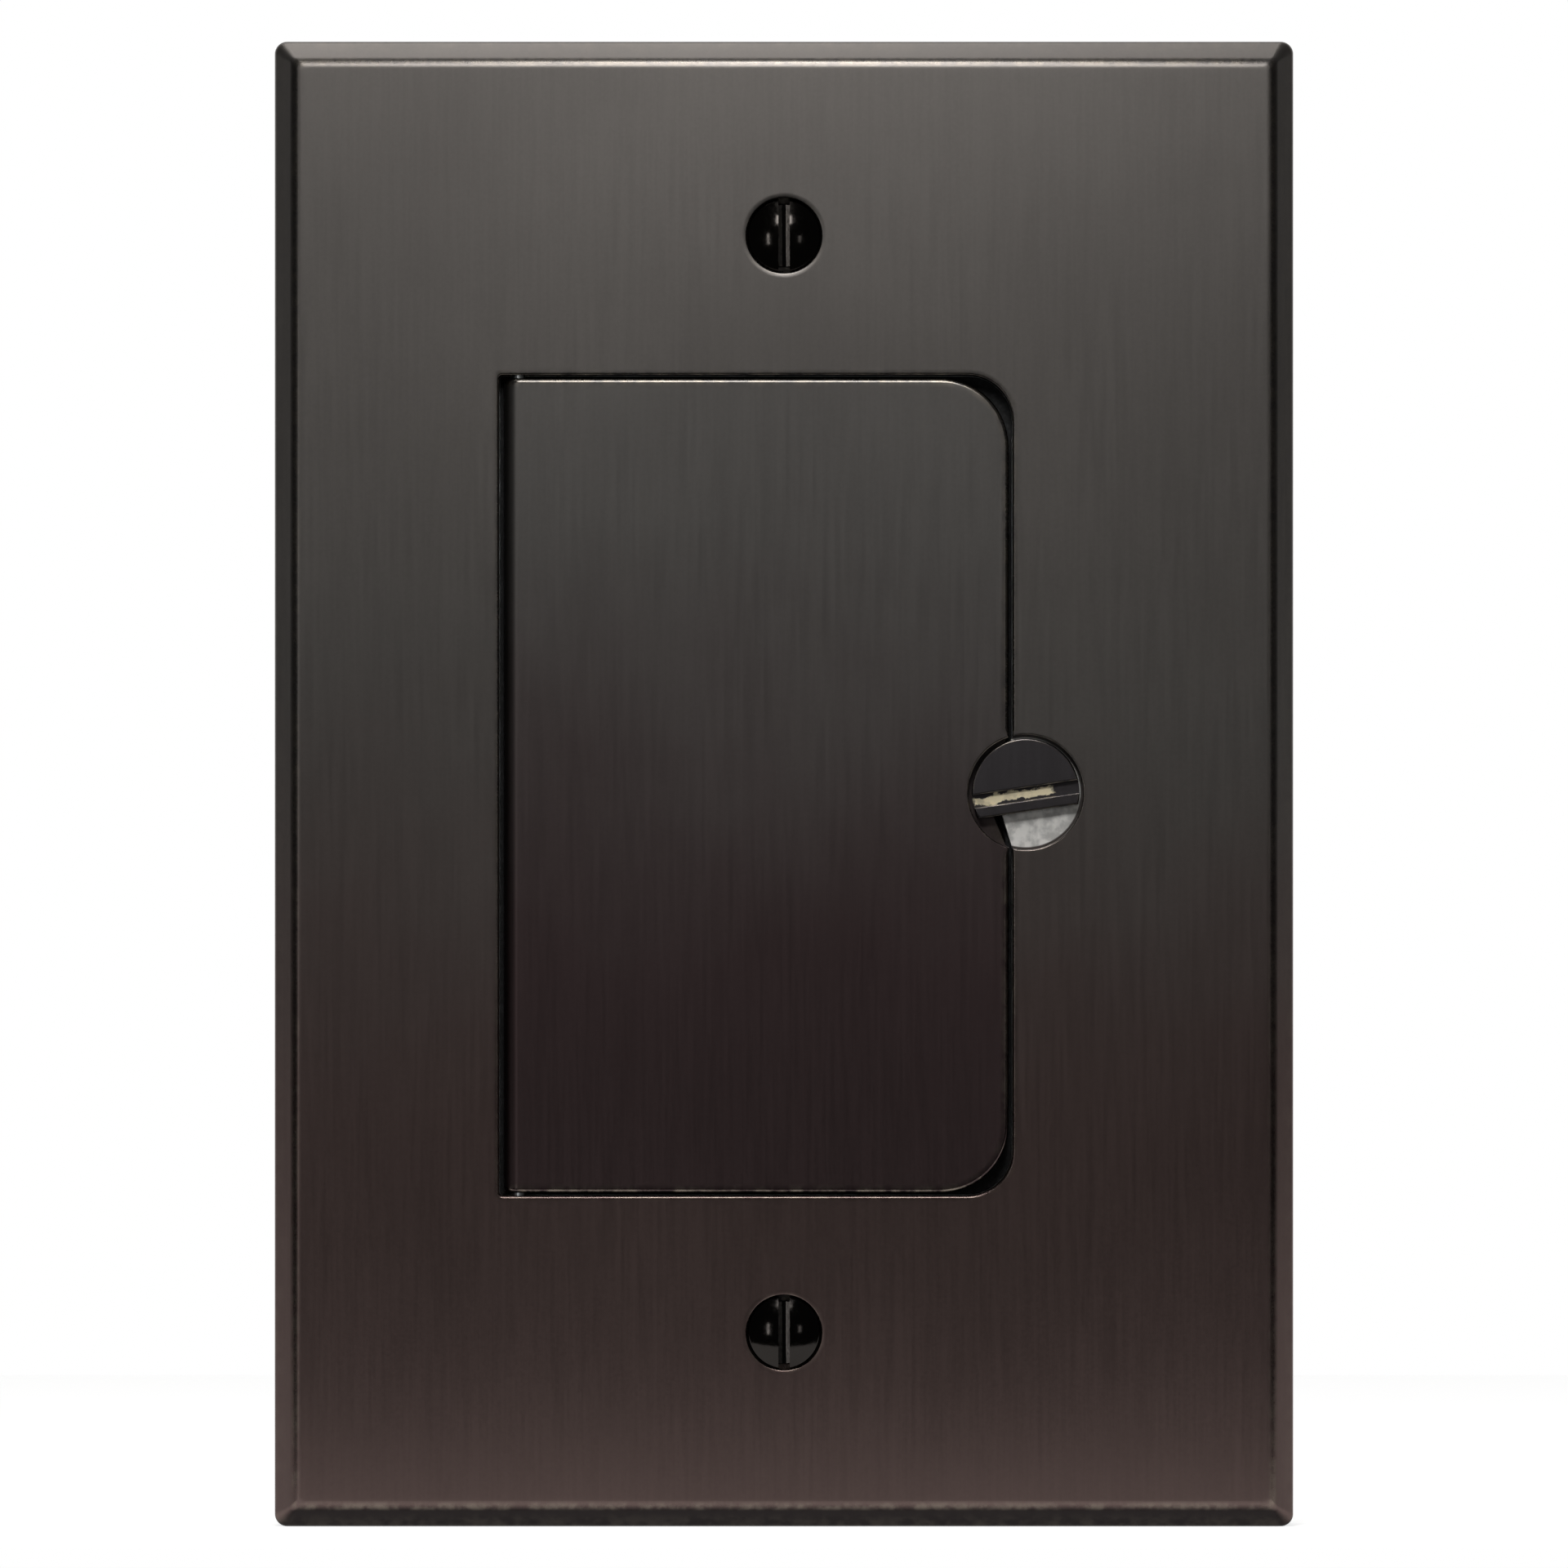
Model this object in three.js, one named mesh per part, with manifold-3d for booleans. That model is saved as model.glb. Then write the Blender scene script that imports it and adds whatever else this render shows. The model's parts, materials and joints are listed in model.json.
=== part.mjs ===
// Cover plate with a hinged door for a rectangular rocker or receptacle device.
// A cast brass plate carries a door on a hinge pin, a slotted quarter-turn latch button that
// overlaps a lip on the door, an inner plate that frames the device, and two cover screws.
//
// The drawing frame has x to the right, y up and z out of the wall, with the wall at z = 0 and
// the middle of the plate at x = y = 0. The last group stands it up: z of the drawing is -Y.

import * as THREE from 'three';
import { mergeVertices } from 'three/addons/utils/BufferGeometryUtils.js';
import Module from 'manifold-3d';

const wasm = await Module();
wasm.setup();

// ---------------------------------------------------------------- driving dimensions, mm

const plate = { width: 90.0, height: 131.2, depth: 9.5, skirt: 2.5, bevel: 1.8, corner: 1.2 };
const opening = { width: 45.35, height: 72.46, x: -2.49, y: -0.14, corner: 4.0 };
const door = { thickness: 2.6, hingeGap: 0.45, freeGap: 0.36, endGap: 0.28, corner: 6.0 };
const pin = { radius: 0.6, reach: 3.2, clearance: 0.06 };
const keeper = { width: 4.8, height: 1.55, clearance: 0.1 };
const seal = { thickness: 0.5, gap: 0.1, edgeGap: 0.4, windowMargin: 0.6 };
const innerPlate = { thickness: 1.2, margin: 6.6, sideMargin: 6.2, corner: 2.0 };
const deviceWindow = { width: 33.4, height: 66.9, corner: 1.0 };
const innerScrew = {
  radius: 1.05, length: 3.2, headRadius: 1.95, headHeight: 1.2, clearance: 0.1,
  spread: 15.5, rise: 3.7, slotWidth: 0.6, slotDepth: 0.6, holeSpare: 0.4,
};
const coverScrew = {
  spacing: 96.84, radius: 1.75, length: 25.4, headRadius: 3.17, crown: 0.75, sink: 0.1,
  sinkAngle: 82, slotWidth: 1.0, slotDepth: 1.25, point: 0.5, holeClearance: 0.2, rimClearance: 0.18,
};
const boss = { wall: 0.8, strap: 1.5 };
const retainer = { radius: 3.4, thickness: 0.8, clearance: 0.1, grip: 0.05 };
const latch = {
  beside: 1.16, below: 0.6, turn: 8.4, radius: 4.75, thickness: 1.2, sink: 0.1, flat: 1.7,
  slotWidth: 1.1, slotDepth: 0.6, slotOffset: 0.15, stemRadius: 1.25, stemTail: 0.7,
};
const latchSeat = { depth: 1.5, clearance: 0.33, stemClearance: 0.1 };
const ear = { radius: 2.55, lipGap: 0.4, sealGap: 0.3, flatGap: 0.1 };
const washer = { radius: 3.0, thickness: 0.5, clearance: 0.1 };
const waveWasher = { radius: 2.7, bore: 1.5, thickness: 0.25, wave: 0.15, waves: 3, clearance: 0.05 };
const clip = { radius: 2.4, thickness: 0.5, groove: 0.3, clearance: 0.05, mouth: 50 };
const wallGasket = { thickness: 0.8, inset: 0.4, width: 2.0 };

// ---------------------------------------------------------------- sizes that follow

const degrees = Math.PI / 180;

// Heights above the wall
const faceZ = plate.depth;
const hingeZ = faceZ - door.thickness / 2;
const doorBackZ = faceZ - door.thickness;
const seatZ = doorBackZ - seal.gap - seal.thickness;
const innerBackZ = seatZ - innerPlate.thickness;
const latchFloorZ = faceZ - latchSeat.depth;
const latchTopZ = faceZ - latch.sink;
const latchUnderZ = latchTopZ - latch.thickness;
const washerBackZ = innerBackZ - washer.thickness;
const waveHeight = waveWasher.thickness + 2 * waveWasher.wave;
const waveBackZ = washerBackZ - waveHeight - 2 * waveWasher.clearance;
const clipBackZ = waveBackZ - clip.thickness;
const stemEndZ = clipBackZ - latch.stemTail;

// The opening, the door in it and the hinge axis
const barrelRadius = door.thickness / 2;
const openingBox = boxAround(opening.x, opening.y, opening.width, opening.height);
const hingeX = openingBox.left + door.hingeGap + barrelRadius;
const doorBox = {
  left: hingeX,
  right: openingBox.right - door.freeGap,
  bottom: openingBox.bottom + door.endGap,
  top: openingBox.top - door.endGap,
};
const pinBore = pin.radius + pin.clearance;

// The latch's axis lies just outside the opening's free edge
const latchX = openingBox.right + latch.beside;
const latchY = opening.y - latch.below;
const latchBoreRadius = latch.radius + latchSeat.clearance;
const stemBoreRadius = latch.stemRadius + latchSeat.stemClearance;

// The cover screws, upper and lower
const coverScrewY = coverScrew.spacing / 2;
const coverHoleRadius = coverScrew.radius + coverScrew.holeClearance;
const sinkRadius = coverScrew.headRadius + coverScrew.rimClearance;
const sinkSlope = Math.tan(coverScrew.sinkAngle / 2 * degrees);
const retainerPocketRadius = retainer.radius + retainer.clearance;
const retainerPocketDepth = retainer.thickness + 2 * retainer.clearance;
const bossRadius = retainerPocketRadius + boss.wall;

// The four screws of the inner plate
const innerScrewPlaces = [
  ['inner_plate_screw_upper_left', -innerScrew.spread, openingBox.top + innerScrew.rise],
  ['inner_plate_screw_upper_right', innerScrew.spread, openingBox.top + innerScrew.rise],
  ['inner_plate_screw_lower_left', -innerScrew.spread, openingBox.bottom - innerScrew.rise],
  ['inner_plate_screw_lower_right', innerScrew.spread, openingBox.bottom - innerScrew.rise],
].map(([name, dx, y]) => ({ name, x: opening.x + dx, y }));
const innerScrewGrip = innerScrew.length - innerPlate.thickness;

// ---------------------------------------------------------------- shapes and solids

const over = 1; // how far a cutter runs past the face it opens

function boxAround(x, y, width, height) {
  return { left: x - width / 2, right: x + width / 2, bottom: y - height / 2, top: y + height / 2 };
}

function grown({ left, right, bottom, top }, by) {
  return { left: left - by, right: right + by, bottom: bottom - by, top: top + by };
}

// A rectangle whose left and right corners have their own radii
function outline({ left, right, bottom, top }, leftRadius = 0, rightRadius = leftRadius) {
  const shape = new THREE.Shape();
  const corners = [
    [right, bottom, -1, 1, rightRadius, -90],
    [right, top, -1, -1, rightRadius, 0],
    [left, top, 1, -1, leftRadius, 90],
    [left, bottom, 1, 1, leftRadius, 180],
  ];
  for (const [x, y, inX, inY, radius, start] of corners) {
    if (radius > 0) {
      const from = start * degrees;
      shape.absarc(x + inX * radius, y + inY * radius, radius, from, from + Math.PI / 2, false);
    } else if (shape.curves.length === 0 && x === right && y === bottom) {
      shape.moveTo(x, y);
    } else {
      shape.lineTo(x, y);
    }
  }
  shape.closePath();
  return shape;
}

function withHole(shape, hole) {
  shape.holes.push(hole);
  return shape;
}

function slab(shape, zLow, zHigh, curveSegments = 8) {
  const depth = zHigh - zLow;
  return new THREE.ExtrudeGeometry(shape, { depth, bevelEnabled: false, curveSegments })
    .translate(0, 0, zLow);
}

function block(box, zLow, zHigh) {
  return new THREE.BoxGeometry(box.right - box.left, box.top - box.bottom, zHigh - zLow)
    .translate((box.left + box.right) / 2, (box.bottom + box.top) / 2, (zLow + zHigh) / 2);
}

function rod(radius, zLow, zHigh, x = 0, y = 0, sides = 48) {
  return new THREE.CylinderGeometry(radius, radius, zHigh - zLow, sides)
    .rotateX(Math.PI / 2).translate(x, y, (zLow + zHigh) / 2);
}

// A cylinder up the sheet, such as the door's barrel and the hinge pin
function uprightRod(radius, bottom, top, x, z, sides) {
  return new THREE.CylinderGeometry(radius, radius, top - bottom, sides)
    .translate(x, (bottom + top) / 2, z);
}

// A turned piece about z; the profile's points are [radius, z] from the back end to the front
function turned(profile, sides) {
  const points = profile.map(([radius, z]) => new THREE.Vector2(radius, z));
  return new THREE.LatheGeometry(points, sides).rotateX(Math.PI / 2);
}

function solid(geometry) {
  for (const name of Object.keys(geometry.attributes)) {
    if (name !== 'position') geometry.deleteAttribute(name);
  }
  const merged = mergeVertices(geometry);
  const corners = merged.index.array;
  const triangles = [];
  for (let i = 0; i < corners.length; i += 3) {
    const [a, b, c] = corners.slice(i, i + 3);
    if (a !== b && b !== c && c !== a) triangles.push(a, b, c);
  }
  return new wasm.Manifold(new wasm.Mesh({
    numProp: 3,
    vertProperties: new Float32Array(merged.attributes.position.array),
    triVerts: new Uint32Array(triangles),
  }));
}

function join(body, geometries) {
  return geometries.reduce((result, geometry) => result.add(solid(geometry)), body);
}

function cut(body, geometries) {
  return geometries.reduce((result, geometry) => result.subtract(solid(geometry)), body);
}

function surface(body) {
  const { vertProperties, triVerts } = body.getMesh();
  const geometry = new THREE.BufferGeometry();
  geometry.setAttribute('position', new THREE.BufferAttribute(vertProperties, 3));
  geometry.setIndex(new THREE.BufferAttribute(triVerts, 1));
  geometry.computeVertexNormals();
  return geometry;
}

function piece(name, body, color, roughness, metalness) {
  const geometry = body.isBufferGeometry ? body : surface(body);
  const mesh = new THREE.Mesh(geometry, new THREE.MeshStandardMaterial({ color, roughness, metalness }));
  mesh.name = name;
  return mesh;
}

// Colour, roughness and metalness of what the pieces are made of
const darkBronze = [0x45413d, 0.42, 1.0];
const blackedSteel = [0x1a1816, 0.2, 1.0];
const zincSteel = [0x9a9c9e, 0.4, 1.0];
const springSteel = [0x6f7276, 0.3, 1.0];
const brass = [0xb08d4a, 0.35, 1.0];
const blackFoam = [0x141414, 0.9, 0.0];
const redFibre = [0x6b2a20, 0.8, 0.0];

// The tongue of metal that reaches from the opening's edge round the latch stem. It is drawn
// about the stem's axis: straight sides from the edge, tangent to a round nose. The same shape,
// grown, is what the door's lip and the seal leave free.
function tongue(edgeX, radius) {
  const half = Math.sqrt(latchBoreRadius ** 2 - edgeX ** 2);
  const touch = Math.atan2(half, edgeX) + Math.acos(radius / latchBoreRadius);
  const shape = new THREE.Shape();
  shape.moveTo(edgeX + over, -half);
  shape.lineTo(edgeX, -half);
  shape.absarc(0, 0, radius, 2 * Math.PI - touch, touch, true);
  shape.lineTo(edgeX, half);
  shape.lineTo(edgeX + over, half);
  shape.closePath();
  return shape;
}

function tongueSlab(edgeX, radius, zLow, zHigh) {
  return slab(tongue(edgeX - latchX, radius), zLow, zHigh).translate(latchX, latchY, 0);
}

// ---------------------------------------------------------------- face plate

// Cast plate: a flat front wall with a mitred bevel all round and a skirt down to the wall
function plateBody() {
  const face = boxAround(0, 0, plate.width - 2 * plate.bevel, plate.height - 2 * plate.bevel);
  const bevelled = new THREE.ExtrudeGeometry(outline(face), {
    depth: plate.depth, bevelEnabled: true, bevelSegments: 1,
    bevelSize: plate.bevel, bevelThickness: plate.bevel,
  }).translate(0, 0, -plate.bevel);
  const outside = boxAround(0, 0, plate.width, plate.height);
  const rounded = slab(outline(outside, plate.corner), wallGasket.thickness, faceZ + over);
  const hollow = block(grown(outside, -plate.skirt), -over, seatZ);
  return cut(solid(bevelled).intersect(solid(rounded)), [hollow]);
}

// Boss behind each cover screw: it bears on the device's strap and holds the screw's retainer
function screwBoss(y) {
  return rod(bossRadius, boss.strap, seatZ + over, 0, y);
}

function coverScrewHole(y) {
  const sinkDepth = (sinkRadius - coverHoleRadius) / sinkSlope;
  const hole = turned([
    [0, -over], [coverHoleRadius, -over], [coverHoleRadius, faceZ - sinkDepth],
    [sinkRadius, faceZ], [sinkRadius, faceZ + over], [0, faceZ + over],
  ], 48).translate(0, y, 0);
  const pocket = rod(retainerPocketRadius, boss.strap - over, boss.strap + retainerPocketDepth, 0, y);
  return [hole, pocket];
}

// Pocket in the back of the front wall for the end of the hinge pin and its keeper
function keeperPocket(side) {
  const edge = side > 0 ? openingBox.top : openingBox.bottom;
  const far = edge + side * (pin.reach + keeper.clearance);
  const near = edge - side * over;
  const [bottom, top] = side > 0 ? [near, far] : [far, near];
  const half = keeper.width / 2 + keeper.clearance;
  const floor = seatZ + keeper.height + keeper.clearance;
  return [
    block({ left: hingeX - half, right: hingeX + half, bottom, top }, seatZ - over, floor),
    block({ left: hingeX - pinBore, right: hingeX + pinBore, bottom, top }, seatZ - over, hingeZ),
    uprightRod(pinBore, bottom, top, hingeX, hingeZ, 32),
  ];
}

function facePlate() {
  let body = join(plateBody(), [screwBoss(coverScrewY), screwBoss(-coverScrewY)]);
  body = cut(body, [slab(outline(openingBox, 0, opening.corner), seatZ - over, faceZ + over)]);
  body = join(body, [tongueSlab(openingBox.right, ear.radius, seatZ, latchFloorZ)]);
  return cut(body, [
    rod(latchBoreRadius, latchFloorZ, faceZ + over, latchX, latchY, 72),
    rod(stemBoreRadius, seatZ - over, faceZ, latchX, latchY, 32),
    ...coverScrewHole(coverScrewY),
    ...coverScrewHole(-coverScrewY),
    ...keeperPocket(1),
    ...keeperPocket(-1),
    ...innerScrewPlaces.map(({ x, y }) => rod(
      innerScrew.radius + innerScrew.clearance,
      seatZ - over, seatZ + innerScrewGrip + innerScrew.holeSpare, x, y, 24,
    )),
  ]);
}

// ---------------------------------------------------------------- door and hinge

// What the lip leaves free so that the button's cut segment, turned to the door, passes it
function lipTrim() {
  const left = latch.flat + ear.flatGap;
  const half = Math.sqrt(latchBoreRadius ** 2 - left ** 2);
  const free = {
    left: latchX - left, right: doorBox.right + over, bottom: latchY - half, top: latchY + half,
  };
  return block(free, doorBackZ - over, latchFloorZ + over);
}

// The door's hinge edge is a full-length half-round barrel, drilled for the pin. Its free edge
// is milled down to a lip where the latch button overlaps it.
function doorLeaf() {
  const leaf = slab(outline(doorBox, 0, door.corner), doorBackZ, faceZ);
  const barrel = uprightRod(barrelRadius, doorBox.bottom, doorBox.top, hingeX, hingeZ, 48);
  return cut(join(solid(leaf), [barrel]), [
    uprightRod(pinBore, doorBox.bottom - over, doorBox.top + over, hingeX, hingeZ, 32),
    rod(latchBoreRadius, latchFloorZ, faceZ + over, latchX, latchY, 72),
    tongueSlab(doorBox.right, ear.radius + ear.lipGap, doorBackZ - over, latchFloorZ + over),
    lipTrim(),
  ]);
}

function hingePin() {
  return uprightRod(
    pin.radius, openingBox.bottom - pin.reach, openingBox.top + pin.reach, hingeX, hingeZ, 24,
  );
}

// Brass saddle that holds the end of the pin down in its pocket, clamped by the inner plate
function hingeKeeper(side) {
  const edge = side > 0 ? openingBox.top : openingBox.bottom;
  const far = edge + side * pin.reach;
  const [bottom, top] = side > 0 ? [edge, far] : [far, edge];
  const half = keeper.width / 2;
  const saddle = block({ left: hingeX - half, right: hingeX + half, bottom, top },
    seatZ, seatZ + keeper.height);
  return cut(solid(saddle), [
    uprightRod(pinBore, bottom - over, top + over, hingeX, hingeZ, 32),
  ]);
}

// Foam seal on the inner plate's ledge, under the edge of the closed door
function doorSeal() {
  const ring = withHole(
    outline(grown(openingBox, -seal.edgeGap), 0, opening.corner - seal.edgeGap),
    outline(grown(boxAround(0, 0, deviceWindow.width, deviceWindow.height), seal.windowMargin),
      deviceWindow.corner),
  );
  return cut(solid(slab(ring, seatZ, seatZ + seal.thickness)), [
    tongueSlab(openingBox.right - ear.sealGap, ear.radius + ear.sealGap, seatZ - over, faceZ),
  ]);
}

// ---------------------------------------------------------------- inner plate and its screws

function innerPlateSheet() {
  const sheet = outline({
    left: openingBox.left - innerPlate.sideMargin,
    right: openingBox.right + innerPlate.sideMargin,
    bottom: openingBox.bottom - innerPlate.margin,
    top: openingBox.top + innerPlate.margin,
  }, innerPlate.corner);
  withHole(sheet, outline(boxAround(0, 0, deviceWindow.width, deviceWindow.height), deviceWindow.corner));
  return cut(solid(slab(sheet, innerBackZ, seatZ)), [
    rod(stemBoreRadius, innerBackZ - over, seatZ + over, latchX, latchY, 32),
    ...innerScrewPlaces.map(({ x, y }) => rod(
      innerScrew.radius + innerScrew.clearance, innerBackZ - over, seatZ + over, x, y, 24,
    )),
  ]);
}

// Pan head with a slot, drawn with the underside of the head at z = 0 and the shank along +z
function innerScrewBody() {
  const { radius, length, headRadius, headHeight, slotWidth, slotDepth } = innerScrew;
  const shoulder = headHeight / 2;
  const body = solid(turned([
    [0, -headHeight], [headRadius - shoulder, -headHeight], [headRadius, -shoulder],
    [headRadius, 0], [radius, 0], [radius, length], [0, length],
  ], 24));
  const slot = boxAround(0, 0, 2 * headRadius + over, slotWidth);
  return cut(body, [block(slot, -headHeight - over, -headHeight + slotDepth)]);
}

// ---------------------------------------------------------------- cover screws

// Slotted oval head, drawn with the head's rim at z = 0 and the shank along -z
function coverScrewBody() {
  const { radius, length, headRadius, crown, slotWidth, slotDepth, point } = coverScrew;
  const coneDepth = (headRadius - radius) / sinkSlope;
  const crownRadius = (headRadius ** 2 + crown ** 2) / (2 * crown);
  const crownSteps = 6;
  const dome = Array.from({ length: crownSteps + 1 }, (_, step) => {
    const r = headRadius * (1 - step / crownSteps);
    return [r, crown - crownRadius + Math.sqrt(crownRadius ** 2 - r ** 2)];
  });
  const body = solid(turned([
    [0, -length], [radius - point, -length], [radius, -length + point], [radius, -coneDepth],
    ...dome,
  ], 48));
  const slot = boxAround(0, 0, slotWidth, 2 * headRadius + over);
  return cut(body, [block(slot, crown - slotDepth, crown + over)]);
}

// Fibre washer pushed on the thread so that the screw stays with the plate
function screwRetainer() {
  return cut(solid(rod(retainer.radius, 0, retainer.thickness)), [
    rod(coverScrew.radius + retainer.grip, -over, retainer.thickness + over, 0, 0, 32),
  ]);
}

// ---------------------------------------------------------------- latch

// Slotted button with a segment cut away and a stem, drawn about its own axis. With the cut
// segment towards the door the button clears the door's lip.
function latchButton() {
  const grooveRadius = latch.stemRadius - clip.groove;
  const body = solid(turned([
    [0, stemEndZ], [latch.stemRadius, stemEndZ],
    [latch.stemRadius, clipBackZ - clip.clearance], [grooveRadius, clipBackZ - clip.clearance],
    [grooveRadius, waveBackZ + clip.clearance], [latch.stemRadius, waveBackZ + clip.clearance],
    [latch.stemRadius, latchUnderZ], [latch.radius, latchUnderZ],
    [latch.radius, latchTopZ], [0, latchTopZ],
  ], 72));
  const wide = 2 * latch.radius + over;
  const segment = { left: -wide / 2, right: wide / 2, bottom: -latch.radius - over, top: -latch.flat };
  return cut(body, [
    block(segment, latchUnderZ, latchTopZ + over),
    block(boxAround(0, -latch.slotOffset, wide, latch.slotWidth),
      latchTopZ - latch.slotDepth, latchTopZ + over),
  ]);
}

function latchWasher() {
  return cut(solid(rod(washer.radius, washerBackZ, innerBackZ)), [
    rod(latch.stemRadius + washer.clearance, washerBackZ - over, innerBackZ + over, 0, 0, 32),
  ]);
}

// Spring washer: a thin ring bent into waves round its circle
function latchWaveWasher() {
  const ring = new THREE.Shape().absarc(0, 0, waveWasher.radius, 0, 2 * Math.PI, false);
  withHole(ring, new THREE.Path().absarc(0, 0, waveWasher.bore, 0, 2 * Math.PI, true));
  const middle = (washerBackZ + waveBackZ) / 2;
  const half = waveWasher.thickness / 2;
  const geometry = slab(ring, middle - half, middle + half, 24);
  const position = geometry.attributes.position;
  for (let i = 0; i < position.count; i += 1) {
    const angle = Math.atan2(position.getY(i), position.getX(i));
    position.setZ(i, position.getZ(i) + waveWasher.wave * Math.cos(waveWasher.waves * angle));
  }
  return solid(geometry);
}

// Open retaining ring snapped into the stem's groove
function latchClip() {
  const bore = latch.stemRadius - clip.groove + clip.clearance;
  const from = clip.mouth * degrees;
  const to = 2 * Math.PI - from;
  const ring = new THREE.Shape();
  ring.absarc(0, 0, clip.radius, from, to, false);
  ring.absarc(0, 0, bore, to, from, true);
  ring.closePath();
  return solid(slab(ring, clipBackZ, waveBackZ, 16));
}

// ---------------------------------------------------------------- wall gasket

function wallGasketRing() {
  const outside = grown(boxAround(0, 0, plate.width, plate.height), -wallGasket.inset);
  const ring = withHole(outline(outside, plate.corner), outline(grown(outside, -wallGasket.width)));
  return solid(slab(ring, 0, wallGasket.thickness));
}

// ---------------------------------------------------------------- assembly

const drawing = new THREE.Group();
drawing.add(
  piece('face_plate', facePlate(), ...darkBronze),
  piece('door', doorLeaf(), ...darkBronze),
  piece('hinge_pin', hingePin(), ...zincSteel),
  piece('hinge_keeper_upper', hingeKeeper(1), ...brass),
  piece('hinge_keeper_lower', hingeKeeper(-1), ...brass),
  piece('door_seal', doorSeal(), ...blackFoam),
  piece('inner_plate', innerPlateSheet(), ...zincSteel),
  piece('wall_gasket', wallGasketRing(), ...blackFoam),
);

for (const { name, x, y } of innerScrewPlaces) {
  const screw = piece(name, innerScrewBody(), ...zincSteel);
  screw.position.set(x, y, innerBackZ);
  drawing.add(screw);
}

for (const [side, y] of [['upper', coverScrewY], ['lower', -coverScrewY]]) {
  const screw = piece(`plate_screw_${side}`, coverScrewBody(), ...blackedSteel);
  screw.position.set(0, y, faceZ - coverScrew.sink);
  const washerOnScrew = piece(`screw_retainer_${side}`, screwRetainer(), ...redFibre);
  washerOnScrew.position.set(0, y, boss.strap + retainer.clearance);
  drawing.add(screw, washerOnScrew);
}

const latchGroup = new THREE.Group();
latchGroup.position.set(latchX, latchY, 0);
const button = piece('latch_button', latchButton(), ...darkBronze);
button.rotation.z = latch.turn * degrees;
const retainingRing = piece('latch_retaining_ring', latchClip(), ...springSteel);
retainingRing.rotation.z = latch.turn * degrees;
latchGroup.add(
  button,
  piece('latch_washer', latchWasher(), ...zincSteel),
  piece('latch_wave_washer', latchWaveWasher(), ...springSteel),
  retainingRing,
);
drawing.add(latchGroup);

const group = new THREE.Group();
drawing.rotation.x = Math.PI / 2;
group.add(drawing);

export default group;
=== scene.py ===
import json
import math

import bmesh
import bpy
import numpy as np
from mathutils.geometry import delaunay_2d_cdt
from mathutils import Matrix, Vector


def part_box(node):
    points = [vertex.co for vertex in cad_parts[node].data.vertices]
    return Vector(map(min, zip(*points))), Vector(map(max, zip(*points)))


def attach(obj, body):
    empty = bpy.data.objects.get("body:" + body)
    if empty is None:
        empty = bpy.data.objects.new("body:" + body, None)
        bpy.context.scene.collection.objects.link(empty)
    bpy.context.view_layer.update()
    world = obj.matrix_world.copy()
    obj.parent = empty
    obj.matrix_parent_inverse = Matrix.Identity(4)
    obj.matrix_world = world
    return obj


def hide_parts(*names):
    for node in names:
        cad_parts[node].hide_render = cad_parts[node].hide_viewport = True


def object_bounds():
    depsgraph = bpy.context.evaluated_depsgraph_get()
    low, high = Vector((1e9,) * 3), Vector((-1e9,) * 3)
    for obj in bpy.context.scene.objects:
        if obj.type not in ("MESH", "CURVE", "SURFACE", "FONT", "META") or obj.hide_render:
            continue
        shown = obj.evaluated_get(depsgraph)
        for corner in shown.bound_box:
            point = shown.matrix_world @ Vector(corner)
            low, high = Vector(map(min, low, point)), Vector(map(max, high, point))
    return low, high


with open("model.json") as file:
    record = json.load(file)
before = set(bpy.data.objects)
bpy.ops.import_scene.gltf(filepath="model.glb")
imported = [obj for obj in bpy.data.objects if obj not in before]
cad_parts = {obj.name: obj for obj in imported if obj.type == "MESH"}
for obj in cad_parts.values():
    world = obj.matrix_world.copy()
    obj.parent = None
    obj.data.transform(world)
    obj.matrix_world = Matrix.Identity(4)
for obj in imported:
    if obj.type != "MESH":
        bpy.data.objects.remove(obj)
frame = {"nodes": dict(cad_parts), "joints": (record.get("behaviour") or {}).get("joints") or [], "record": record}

cad_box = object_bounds()


# ------------------------------------------------------------------ face plate
# The body of the cover: a brass casting with a sloped and rounded rim, open in the middle for the
# door. The outside is brushed up and down and darkened to bronze, and the seat of the latch button
# is milled bright afterwards. Heights are measured from the wall, in millimetres.

MM = 0.001


def arc(x, z, radius, start, end, steps):
    """Points of a circle about (x, z): x + radius cos a, z + radius sin a, for a from start to end
    in degrees."""
    angle = np.radians(np.linspace(start, end, steps + 1))
    return np.column_stack([x + radius * np.cos(angle), z + radius * np.sin(angle)])


def rounded(half_width, half_height, radius, steps=10):
    """Closed outline of a rectangle about the middle: a quarter circle at each corner, taken
    anticlockwise."""
    x, z = half_width - radius, half_height - radius
    return np.concatenate([
        arc(x, -z, radius, -90, 0, steps), arc(x, z, radius, 0, 90, steps),
        arc(-x, z, radius, 90, 180, steps), arc(-x, -z, radius, 180, 270, steps)])


def inset(outline, by, closed=True):
    """Moves an outline to the left of its travel: each point goes along the mitre of the edges
    before and after it, (n1 + n2) / (1 + n1.n2), times the distance."""
    edge = np.roll(outline, -1, 0) - outline
    if not closed:
        edge[-1] = edge[-2]
    after = np.column_stack([-edge[:, 1], edge[:, 0]]) / np.linalg.norm(edge, axis=1)[:, None]
    before = np.roll(after, 1, 0)
    if not closed:
        before[0] = after[0]
    mitre = (after + before) / (1 + (after * before).sum(1))[:, None]
    return outline + mitre * np.reshape(by, (-1, 1))


def at(outline, height):
    """Stands an outline of x and z off the wall: y is minus the height, one or one for each point."""
    return np.column_stack([outline[:, 0], -height * np.ones(len(outline)), outline[:, 1]])


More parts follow.
